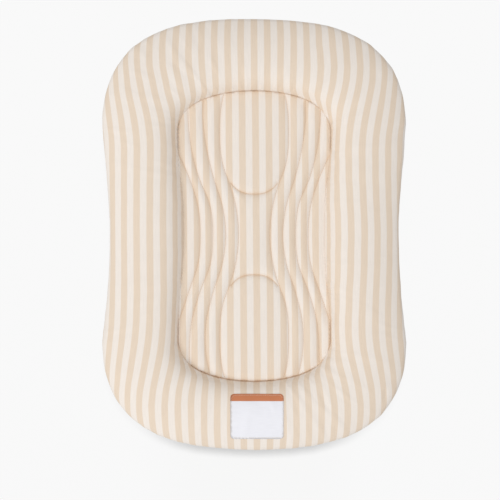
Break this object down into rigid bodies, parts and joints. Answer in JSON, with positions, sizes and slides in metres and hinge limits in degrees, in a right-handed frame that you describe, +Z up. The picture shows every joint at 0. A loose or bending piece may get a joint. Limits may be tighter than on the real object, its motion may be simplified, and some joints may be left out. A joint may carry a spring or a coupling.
{
  "type": "infant lounger",
  "caption": "Waisted stuffed ring round a contour-quilted pad, in a striped cotton cover with a zip along the base.",
  "frame": {"origin": "middle of the outline, on the surface that the lounger lies on", "axes": "+X to the right seen from above, +Y along the lounger to its head end, +Z up"},
  "size_m": [0.52, 0.737, 0.1009],
  "materials": {
    "striped_cotton": "printed plain-weave cotton with cream and beige stripes 11.4 mm wide",
    "base_cotton": "plain cotton canvas, unbleached",
    "muslin": "thin white muslin",
    "fibre": "white polyester fibre",
    "foam": "pale polyurethane foam",
    "patch_cloth": "smooth printed patch with a terracotta band, no words",
    "zip_tape": "woven polyester tape",
    "zip_nylon": "moulded teeth",
    "zip_metal": "nickel-plated zinc"
  },
  "bodies": {
    "lounger": {"cover_bolster_panel": "striped_cotton", "cover_centre_panel": "striped_cotton", "quilt_wadding": "fibre", "sewn_patch": "patch_cloth", "cover_base_left": "base_cotton", "cover_base_right": "base_cotton", "insert_liner_top": "muslin", "insert_liner_base": "muslin", "insert_inner_wall": "muslin", "bolster_fill": "fibre", "pad_foam": "foam", "zip_tape_left": "zip_tape", "zip_tape_right": "zip_tape", "zip_teeth_left": "zip_nylon", "zip_teeth_right": "zip_nylon", "zip_stop_top_left": "zip_metal", "zip_stop_top_right": "zip_metal", "zip_stop_bottom": "zip_metal"},
    "slider": {"zip_slider": "zip_metal"},
    "pull": {"zip_pull": "zip_metal"}
  },
  "joints": [
    {"name": "zip_slide", "type": "slide", "parent": "lounger", "child": "slider", "axis": [0, -1, 0], "range_m": [0, 0.401]},
    {"name": "pull_swing", "type": "hinge", "parent": "slider", "child": "pull", "pos_m": [0, 0.2007, 0.0075], "axis": [1, 0, 0], "range_deg": [0, 180]}
  ]
}
